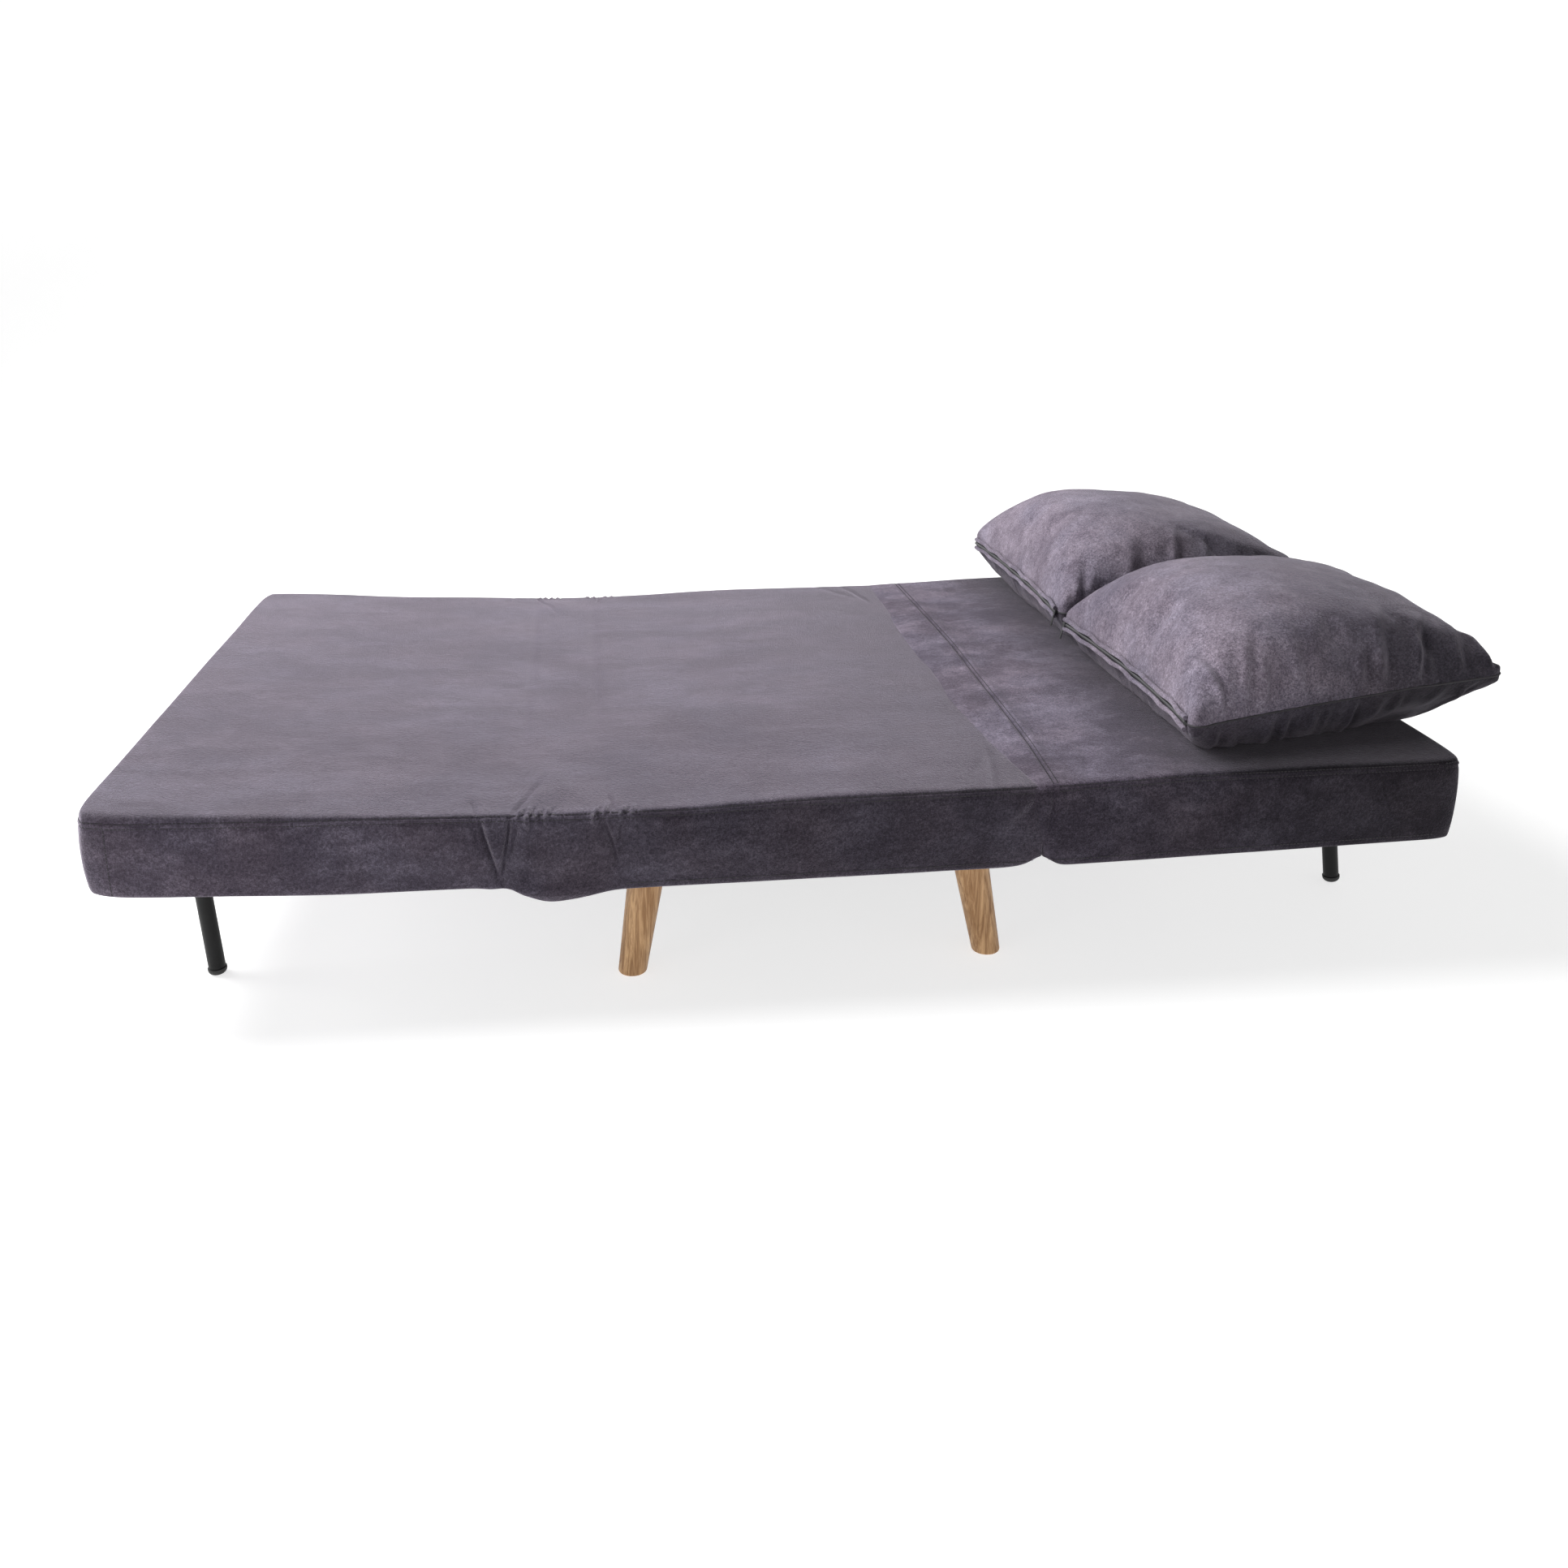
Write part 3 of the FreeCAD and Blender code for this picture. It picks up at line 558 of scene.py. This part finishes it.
def sewn(name, surface, rows, thread):
    """Rows of short stitches laid on a surface. A row is a list of (start, towards) rays."""
    mesh = surface.data
    tree = BVHTree.FromPolygons([v.co for v in mesh.vertices], [p.vertices for p in mesh.polygons])
    work = bmesh.new()
    for row in rows:
        found = []
        for start, towards in row:
            place, facing, _, _ = tree.ray_cast(Vector(start), Vector(towards).normalized(), 0.08)
            if place is not None:
                found.append((place, facing))
        for (a, facing), (b, _) in zip(found[::2], found[1::2]):
            along = b - a
            if not 0.001 < along.length < 0.012:
                continue
            across_it = facing.cross(along).normalized()
            frame_of = Matrix((along.normalized(), across_it, facing)).transposed().to_4x4()
            bmesh.ops.create_cube(work, size=1.0, matrix=Matrix.Translation((a + b) / 2 + facing * 0.0002)
                                  @ frame_of @ Matrix.Diagonal((along.length * 1.25, 0.0011, 0.0011, 1)))
    return piece_from(work, name, thread, smooth=False)


thread, shader, place = finish("thread")
twist = speckle(place, 900, 2)
join(place, twist.tint((0.010, 0.009, 0.011), (0.030, 0.027, 0.032)), shader, "Base Color")
join(place, 0.6 + twist * 0.2, shader, "Roughness")
bump(place, twist, shader, 0.0003, 0.4)


STITCH = 0.0026        # one ray every half stitch
STAND_OFF = 0.05       # rays start this far outside the cover
LOWER_SEAM = 0.1825
SWING = 0.09           # radius that the rays round a corner start at


def wall_rows(start, stop, height, lifts):
    """Rays at the long sides, for rows of stitches at heights off a line."""
    rows = []
    for side in (-1, 1):
        for lift in lifts:
            rows.append([((foot_end + b, side * (half_width + STAND_OFF), height(b) + lift), (0, -side, 0))
                         for b in np.arange(start, stop, STITCH)])
    return rows


seam_lifts = (0.0002, -0.0062)
rows = wall_rows(0.038, 1.272, seam_height, seam_lifts) + wall_rows(0.70, 1.262, lambda b: LOWER_SEAM, (0,))
for lift in seam_lifts:
    rows.append([((foot_end - STAND_OFF, y, seam_height(0) + lift), (1, 0, 0))
                 for y in np.arange(-0.563, 0.563, STITCH)])
    for side in (-1, 1):
        rows.append([((foot_end + FOOT_ROUND - SWING * math.cos(a),
                       side * (half_width - FOOT_ROUND + SWING * math.sin(a)), seam_height(0) + lift),
                      (math.cos(a), -side * math.sin(a), 0)) for a in np.arange(0, math.pi / 2, 0.072)])
for side in (-1, 1):
    rows.append([((foot_end + 0.034, side * (half_width + STAND_OFF), z), (0, -side, 0))
                 for z in np.arange(0.204, 0.298, STITCH)])
lying_stitches = sewn("foot_and_seat_stitching", lying_cover, rows, thread)

for piece in (lying_cover, lying_stitches):
    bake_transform(piece)
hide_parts("foot_cover", "seat_cover", "foot_foam", "seat_foam")


# Dust cover: black non-woven cloth stapled over the hole in the seat's underside, its edge
# turned under once. It hangs down a few millimetres between its rows of staples.
low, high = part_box("seat_dust_cover")
cloth_low, cloth_high = Vector((low.x - 0.012, low.y - 0.012)), Vector((high.x + 0.012, high.y + 0.012))
felt, shader, place = finish("non_woven_cloth")
spots = place.node("ShaderNodeTexVoronoi", None, Vector=place, Scale=420.0)
spots = Sock(place.tree, spots.outputs["Distance"])
join(place, speckle(place, 26, 5).tint((0.010, 0.010, 0.011), (0.026, 0.026, 0.027)), shader, "Base Color")
join(place, 0.75 + spots * 0.2, shader, "Roughness")
bump(place, spots, shader, 0.0005, 0.5)
block = bmesh.new()
bmesh.ops.create_grid(block, x_segments=60, y_segments=84, size=0.5)
for vert in block.verts:
    u, v = vert.co.x * 2, vert.co.y * 2
    x = cloth_low.x + (u + 1) / 2 * (cloth_high.x - cloth_low.x)
    y = cloth_low.y + (v + 1) / 2 * (cloth_high.y - cloth_low.y)
    edge = min(1 - abs(u), 1 - abs(v))
    ripple = 0.0009 * math.sin(y * 62 + math.sin(x * 21)) * min(1, edge * 6) * (1 - abs(u))
    sag = 0.006 * (1 - u * u) * (1 - v * v) + ripple
    vert.co = (x, y, 0.1698 - sag)
dust_cover = piece_from(block, "dust_cover", felt)
thick = dust_cover.modifiers.new("cloth", "SOLIDIFY")
thick.thickness, thick.offset = 0.0006, 0
applied(dust_cover)
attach(dust_cover, "seat")
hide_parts("seat_dust_cover")

block = bmesh.new()
spacing = 0.055
ring = [(x, y, 0) for y in (cloth_low.y + 0.006, cloth_high.y - 0.006)
        for x in np.arange(cloth_low.x + 0.02, cloth_high.x - 0.01, spacing)]
ring += [(x, y, math.pi / 2) for x in (cloth_low.x + 0.006, cloth_high.x - 0.006)
         for y in np.arange(cloth_low.y + 0.03, cloth_high.y - 0.02, spacing)]
for x, y, turn in ring:
    bmesh.ops.create_cube(block, size=1.0, matrix=Matrix.Translation((x, y, 0.1690))
                          @ Matrix.Rotation(turn, 4, "Z") @ Matrix.Diagonal((0.011, 0.0012, 0.0012, 1)))
staples = piece_from(block, "staples", zinc, smooth=False)
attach(staples, "seat")


# Back: a third foam slab in its own velvet cover, which is sewn to the seat's with a strip of
# the same cloth over the hinge, so the top runs on without a gap and the sides open below.
def settle_back(b, v, w):
    y = half_width * v
    crown = np.interp(b, (1.28, 1.40, 1.6, 1.88), (0.006, 0.008, 0.010, 0.010))
    under = np.interp(b, (1.28, 1.31, 1.886), (0.173, 0.171, 0.181))
    over = seam_height(b) + crown * (0.55 + 0.45 * (1 - abs(v) ** 3)) + 0.003 * (1 - v * v)
    over -= 0.0045 * math.exp(-((b - 1.283) / 0.02) ** 2) * (1 - 0.3 * v * v)
    z = under + w * (over - under)
    if abs(v) > 0.999:
        y += math.copysign(SIDE_BULGE * (1 - (2 * w - 1) ** 2), v)
    if b >= HEAD_END - HEAD_ROUND:
        b, y = plan_corner(b, y, HEAD_END, HEAD_ROUND)
        b += 0.005 * ramp(b - 1.869, 0, 0.031) + 0.004 * (1 - (2 * w - 1) ** 2) * (b > 1.885)
    reach = 1 - ramp(b, 1.283, 1.37)
    lap = ramp(w, 0.15, 0.5) * reach
    if w < 0.1:
        z += 0.013 * (1 - ramp(b, 1.283, 1.318)) ** 1.5
    b += (split_at(y, w) - SEAT_END) * reach - 0.011 * lap
    proud = 0.0012 * lap * ramp(1.300 - b, 0, 0.02)
    z += proud * (w > 0.9)
    y += math.copysign(proud * (abs(v) > 0.999), v)
    return Vector((foot_end + b, y, z))


block = slab((1.2828, 1.288, 1.297, 1.307, 1.318, 1.331, 1.345, 1.37, 1.42,
              1.48, 1.56, 1.64, 1.72, 1.80, 1.869, 1.888, HEAD_END), across, depths)
for vert in block.verts:
    vert.co = settle_back(*vert.co)
bmesh.ops.recalc_face_normals(block, faces=block.faces[:])
# the back's copy of the velvet: a lighter base under less sheen, its painted shade lifted to meet the seat's
# at the strip and then darkened into a painted shadow around the pillows
back_velvet = velvet("back_velvet", (0.038, 0.0312, 0.0418), (0.082, 0.0702, 0.0892), (0.029, 0.026, 0.030),
                     (1.0, 1.2, 1.4), 0.22, painted_shade_lift=0.82)
back_cover = piece_from(block, "back_cushion_cover", back_velvet, lining)
smooth_out(back_cover, 3)

strip_seam = ((1.297, -0.60), (1.308, -0.45), (1.316, -0.235), (1.328, 0.10), (1.335, 0.60))
hinge_creases = [
    (strip_seam, 0.0034, -0.0030, "top"),
    (tuple((b + 0.009, y) for b, y in strip_seam), 0.0050, 0.0018, "top"),
    (tuple((b - 0.009, y) for b, y in strip_seam), 0.0050, 0.0016, "top"),
    (((1.293, 0.291), (1.295, 0.265), (1.289, 0.240)), 0.0034, -0.0040, "sides"),
    (((1.303, 0.291), (1.308, 0.262), (1.303, 0.235)), 0.0060, 0.0024, "sides"),
    (((1.33, 0.283), (1.38, 0.262), (1.43, 0.230)), 0.0100, -0.0024, "sides"),
    (((1.34, 0.262), (1.39, 0.235), (1.45, 0.205)), 0.0110, 0.0024, "sides"),
    (((1.340, -0.60), (1.375, -0.50), (1.385, -0.38)), 0.0060, -0.0015, "top"),
    (((1.345, 0.30), (1.385, 0.10), (1.395, -0.05)), 0.0070, -0.0014, "top"),
]
tuck(back_cover, hinge_creases, 5)
pocket(back_cover, "back_leg_tube", -1)

HEAD_SEAM = 0.299
rows = wall_rows(1.302, 1.866, seam_height, seam_lifts)
rows += wall_rows(1.30, 1.866, lambda b: LOWER_SEAM + (b - 1.3) * 0.017, (0,))
for lift in seam_lifts:
    rows.append([((foot_end + 1.95, y, HEAD_SEAM + lift), (-1, 0, 0))
                 for y in np.arange(-0.568, 0.568, STITCH)])
    for side in (-1, 1):
        rows.append([((foot_end + 1.869 + SWING * math.cos(a),
                       side * (half_width - HEAD_ROUND + SWING * math.sin(a)), HEAD_SEAM + lift),
                      (-math.cos(a), -side * math.sin(a), 0)) for a in np.arange(0, math.pi / 2, 0.083)])
seam_b, seam_y = zip(*strip_seam)
for shift in (-0.003, 0.004):
    rows.append([((foot_end + np.interp(y, seam_y, seam_b) + shift, y, 0.36), (0, 0, -1))
                 for y in np.arange(-0.592, 0.592, STITCH)])
back_stitches = sewn("back_cushion_stitching", back_cover, rows, thread)
for piece in (back_cover, back_stitches):
    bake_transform(piece)
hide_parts("back_cover", "back_foam")


# Throw pillows: two polyester-filled cases in the same velvet, each sewn round its edge from two
# squares, with a zip along the edge that faces the foot. They lie side by side on the back.
pillow_velvet = velvet("pillow_velvet_cloth", (0.064, 0.0548, 0.0690), (0.104, 0.0908, 0.1096),
                       (0.032, 0.029, 0.033), (1.3, 1.3, 1.3), 0.36, along_bed=False)

# painted shade: a darker copy of the pillow velvet, with less sheen, for the lower panels, which stand in
# shade
pillow_shaded_underside = velvet("pillow_underside_cloth", (0.020, 0.0170, 0.0220), (0.042, 0.0365, 0.0450),
                          (0.012, 0.011, 0.013), (1.3, 1.3, 1.3), 0.22, along_bed=False)

rounds_u = tuple(np.round(np.linspace(-1, 1, 45), 5))
rounds_v = tuple(np.round(np.linspace(-1, 1, 51), 5))


def pillow(body, corners, rise, drop, peak, seed):
    """corners: left near, right near, left far, right far, of the sewn edge."""
    block = slab(rounds_u, rounds_v, (-1.0, 0.0, 1.0))
    params = []
    for vert in block.verts:
        u, v, w = vert.co
        params.append((u, v, w))
        tip = 0.11
        a, c = (abs(u) - 1 + tip) / tip, (abs(v) - 1 + tip) / tip
        cornered = max(0.0, min(a, c))
        if a > 0 and c > 0:
            shrink = max(a, c) / math.hypot(a, c)
            u, v = math.copysign(1 - tip + tip * a * shrink, u), math.copysign(1 - tip + tip * c * shrink, v)
        s, t = (u + 1) / 2, (v + 1) / 2
        ln, rn, lf, rf = (Vector(c) for c in corners)
        pull_u = 0.020 * (1 - v * v) * u
        pull_v = 0.020 * (1 - u * u) * v
        s, t = s - pull_u, t - pull_v
        edge = (ln * (1 - s) + rn * s) * (1 - t) + (lf * (1 - s) + rf * s) * t
        shifted = u - peak * (1 - u * u)
        dome = max(0.0, (1 - shifted ** 2) * (1 - v ** 2)) ** 0.41
        lift = (rise if w > 0 else -drop) * dome if w else 0
        lip = (0.0020 + 0.0035 * cornered) * w
        vert.co = edge + Vector((0, 0, lift + lip))
    bmesh.ops.recalc_face_normals(block, faces=block.faces[:])
    params = np.array(params)
    block.verts.index_update()
    # faces wholly below the sewn edge take slot 1, the darker painted-shade copy of the velvet
    for face in block.faces:
        face.material_index = int(max(params[vert.index][2] for vert in face.verts) < 0.5)
    case = piece_from(block, body + "_case", pillow_velvet, pillow_shaded_underside)
    mesh = case.data
    start = points_of(mesh)
    made = case.modifiers.new("plump", "CLOTH")
    made.settings.quality = 6
    made.settings.mass = 0.25
    made.settings.tension_stiffness = 18
    made.settings.compression_stiffness = 9
    made.settings.shear_stiffness = 6
    made.settings.bending_stiffness = 0.25
    made.settings.use_pressure = True
    made.settings.uniform_pressure_force = 4.0
    made.settings.effector_weights.gravity = 0
    made.collision_settings.use_collision = False
    made.point_cache.frame_end = 24
    for step in range(1, 23):
        bpy.context.scene.frame_set(step)
    solved = case.evaluated_get(bpy.context.evaluated_depsgraph_get())
    swollen = points_of(solved.data)
    case.modifiers.clear()
    bpy.context.scene.frame_set(1)
    move = swollen - start
    size = np.linalg.norm(move, axis=1)
    move *= np.minimum(1, 0.020 / np.maximum(size, 1e-9))[:, None]
    start = start + move
    # the stuffing pulls the corners in: let them out again to where they lie
    for p in (-1, 1):
        for q in (-1, 1):
            i = int(np.argmin(np.hypot(params[:, 0] - p, params[:, 1] - q) + np.abs(params[:, 2])))
            share = (1 + p * params[:, 0]) / 2 * (1 + q * params[:, 1]) / 2
            start -= np.outer(share, move[i])
    put_points(mesh, start)
    kept = mesh.attributes.new("sewn_at", "FLOAT_VECTOR", "POINT")
    kept.data.foreach_set("vector", params.astype(np.float32).ravel())
    smooth_out(case, 2)
    mesh = case.data
    values = np.zeros(len(mesh.vertices) * 3, np.float32)
    mesh.attributes["sewn_at"].data.foreach_get("vector", values)
    mesh.attributes.remove(mesh.attributes["sewn_at"])
    params = values.reshape(-1, 3).astype(float)
    start = points_of(mesh)
    out = points_of(mesh, field="normal")
    u, v, w = params.T
    close = np.minimum(1 - np.abs(u), 1 - np.abs(v))
    pucker = 0.0040 * swell(start, 0.11, seed) * ramp(close, 0.05, 0.4)
    pucker += 0.0013 * swell(start, 0.035, seed + 2) * ramp(close, 0.0, 0.2)
    # gathers: folds of many lengths running in from the seam, deepest on the two long free edges
    draw = random.Random(seed)
    edges = ((1, -1, 12, 0.0086), (1, 1, 10, 0.0066), (0, -1, 9, 0.0024), (0, 1, 9, 0.0050))
    for axis, end, count, deepest in edges:
        inward = 1 - end * params[:, axis]
        run = params[:, 1 - axis]
        for panel in (1, -1):
            on_panel = ramp(w * panel, -0.1, 0.7)
            for i in range(count):
                at = -0.93 + 1.86 * (i + draw.uniform(0.1, 0.9)) / count
                length, wide = 0.12 + 0.36 * draw.random() ** 1.6, draw.uniform(0.020, 0.050)
                slant = draw.uniform(-0.55, 0.55) - 0.3 * at
                depth = deepest * draw.uniform(0.3, 1.0) ** 1.3
                off = run - at - slant * inward - 0.25 * slant * inward ** 2
                spread = wide * (1 + 1.2 * inward)
                fold = np.exp(-(off / spread) ** 2) - 0.8 * np.exp(-((off - 1.6 * spread) / spread) ** 2)
                fade = np.clip(1 - inward / length, 0, 1) ** 0.8 * ramp(inward, -0.01, 0.05)
                pucker += depth * fold * fade * on_panel
    start = start + out * pucker[:, None]
    bed = seam_height(start[:, 0] - foot_end) + 0.0085 + 0.004 * ramp(np.abs(start[:, 1]), 0.6, 0.3)
    low = start[:, 2] < bed
    start[low, 2] = bed[low]
    put_points(mesh, start)

    ring = [int(i) for i in np.nonzero(np.abs(w) < 1e-3)[0]]
    ring.sort(key=lambda i: math.atan2(params[i][1], params[i][0]))
    edge = [Vector(start[i]) for i in ring]
    edge_uv = [params[i] for i in ring]

    def bead(name, path, radius, closed, material):
        line = bpy.data.curves.new(name, "CURVE")
        line.dimensions, line.bevel_depth, line.bevel_resolution = "3D", radius, 2
        line.use_fill_caps = True
        spline = line.splines.new("POLY")
        spline.points.add(len(path) - 1)
        for point, place in zip(spline.points, path):
            point.co = (*place, 1)
        spline.use_cyclic_u = closed
        holder = bpy.data.objects.new(name + "_line", line)
        bpy.context.scene.collection.objects.link(holder)
        bpy.context.view_layer.update()
        mesh = bpy.data.meshes.new_from_object(holder.evaluated_get(bpy.context.evaluated_depsgraph_get()))
        bpy.data.objects.remove(holder)
        made = bpy.data.objects.new(name, mesh)
        bpy.context.scene.collection.objects.link(made)
        mesh.materials.clear()
        mesh.materials.append(material)
        mesh.polygons.foreach_set("use_smooth", [True] * len(mesh.polygons))
        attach(made, body)

    bead(body + "_seam", edge, 0.0016, True, seam_cloth)
    left = [(p, q) for p, q in zip(edge, edge_uv) if q[0] < -0.999 and abs(q[1]) < 0.92]
    left.sort(key=lambda item: item[1][1])
    path = [p for p, _ in left]
    away = Vector((-0.0026, 0, 0))
    bead(body + "_zip_teeth", [p + away for p in path], 0.0034, False, zip_teeth)
    for name, lift in (("upper", 0.0088), ("lower", -0.0080)):
        lip = [p + Vector((-0.0040 + 0.0010 * math.sin(p.y * 90), 0,
                           lift + 0.0012 * math.sin(p.y * 57 + lift * 300))) for p in path]
        bead(body + "_zip_lip_" + name, lip, 0.0038, False, pillow_velvet)
    head = path[-1 if body == "pillow_near" else 0] + Vector((-0.004, 0, 0))
    pull = bmesh.new()
    bmesh.ops.create_cube(pull, size=1.0,
                          matrix=Matrix.Translation(head) @ Matrix.Diagonal((0.005, 0.010, 0.008, 1)))
    bmesh.ops.create_cube(pull, size=1.0, matrix=Matrix.Translation(head + Vector((-0.004, 0.001, -0.014)))
                          @ Matrix.Rotation(math.radians(12), 4, "Y")
                          @ Matrix.Diagonal((0.0018, 0.006, 0.024, 1)))
    bmesh.ops.bevel(pull, geom=pull.edges[:], offset=0.0007, affect="EDGES", segments=2, profile=0.5,
                    material=-1)
    puller = piece_from(pull, body + "_zip_pull", zip_teeth)
    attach(puller, body)
    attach(case, body)
    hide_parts(body)
    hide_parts(body + "_zip")


seam_cloth, shader, place = finish("sewn_edge")
pinch = speckle(place, 500, 3)
join(place, pinch.tint((0.014, 0.012, 0.015), (0.032, 0.029, 0.034)), shader, "Base Color")
join(place, 0.8 + pinch * 0.1, shader, "Roughness")
bump(place, pinch, shader, 0.0005, 0.5)
zip_teeth, shader, place = finish("nylon_zip")
coil = place.node("ShaderNodeTexWave", {"bands_direction": "Y"}, Vector=place, Scale=160.0, Distortion=0.4)
coil = Sock(place.tree, coil.outputs["Fac"])
join(place, coil.tint((0.004, 0.004, 0.005), (0.030, 0.030, 0.032)), shader, "Base Color")
join(place, 0.45 + coil * 0.15, shader, "Roughness")
bump(place, coil, shader, 0.0006, 0.6)

bed_x = lambda b: foot_end + b
pillow("pillow_near", ((bed_x(1.503), -0.560, 0.352), (bed_x(2.026), -0.492, 0.394),
                       (bed_x(1.503), 0.006, 0.362), (bed_x(2.018), 0.002, 0.398)), 0.122, 0.095, -0.25, 2)
pillow("pillow_far", ((bed_x(1.508), 0.018, 0.368), (bed_x(2.010), 0.016, 0.395),
                      (bed_x(1.503), 0.596, 0.388), (bed_x(2.010), 0.560, 0.392)), 0.130, 0.095, -0.30, 3)


# Stage: a pale seamless sweep that glows a little, a large soft light overhead, weaker ones to
# the left and in front, and the camera about a metre up in front of the near side.
sweep = bmesh.new()
flat, curve = 6.0, 2.0
profile_line = [(0.001, 0), (flat, 0)]
profile_line += [(flat + curve * math.sin(a), curve - curve * math.cos(a))
                 for a in np.linspace(0.15, math.pi / 2, 10)]
profile_line += [(8.0, 4.2)]
verts = [sweep.verts.new((r, 0, z)) for r, z in profile_line]
edges = [sweep.edges.new(pair) for pair in zip(verts, verts[1:])]
bmesh.ops.spin(sweep, geom=verts + edges, cent=(0, 0, 0), axis=(0, 0, 1), angle=2 * math.pi, steps=72,
               use_merge=True)
bmesh.ops.remove_doubles(sweep, verts=sweep.verts[:], dist=0.002)
bmesh.ops.recalc_face_normals(sweep, faces=sweep.faces[:])
bmesh.ops.reverse_faces(sweep, faces=sweep.faces[:])
paper, shader, place = finish("backdrop_paper")
shader.inputs["Base Color"].default_value = (0.48, 0.48, 0.48, 1)
shader.inputs["Roughness"].default_value = 0.9
shader.inputs["Emission Color"].default_value = (1, 1, 1, 1)
shader.inputs["Emission Strength"].default_value = 0.70
backdrop = piece_from(sweep, "backdrop", paper)


def soft_light(name, place, size, power, target):
    lamp = bpy.data.lights.new(name, "AREA")
    lamp.shape, lamp.size, lamp.energy = "DISK", size, power
    lamp.spread = math.radians(180)
    holder = bpy.data.objects.new(name, lamp)
    holder.location = place
    holder.rotation_euler = (Vector(target) - Vector(place)).to_track_quat("-Z", "Y").to_euler()
    bpy.context.scene.collection.objects.link(holder)


soft_light("overhead", (-2.4, 0.9, 3.3), 2.8, 335, (-0.1, 0.1, 0.3))
soft_light("left", (-4.2, 0.3, 1.4), 1.8, 48, (0.6, 0, 0.45))
soft_light("front", (-2.7, -2.5, 1.0), 1.4, 9, (-0.8, -0.6, 0.2))
world = bpy.data.worlds.new("studio")
world.use_nodes = True
world.node_tree.nodes["Background"].inputs["Color"].default_value = (1, 1, 1, 1)
world.node_tree.nodes["Background"].inputs["Strength"].default_value = 0.12
bpy.context.scene.world = world
bpy.context.scene.view_settings.view_transform = "Standard"

eye = bpy.data.cameras.new("view")
eye.lens, eye.sensor_width = 32.16, 36
eye.shift_x, eye.shift_y = 0.0236, -0.0876
eye.clip_end = 60
yaw, pitch, roll = math.radians(6.68), math.radians(16.1), math.radians(-0.13)
ahead = Vector((math.sin(yaw) * math.cos(pitch), math.cos(yaw) * math.cos(pitch), -math.sin(pitch)))
right = Vector((math.cos(yaw), -math.sin(yaw), 0))
up = right.cross(ahead)
right, up = math.cos(roll) * right + math.sin(roll) * up, math.cos(roll) * up - math.sin(roll) * right
viewer = bpy.data.objects.new("view", eye)
viewer.matrix_world = (Matrix.Translation((foot_end + 0.661, -2.347, 1.018))
                       @ Matrix((right, up, -ahead)).transposed().to_4x4())
bpy.context.scene.collection.objects.link(viewer)
bpy.context.scene.camera = viewer
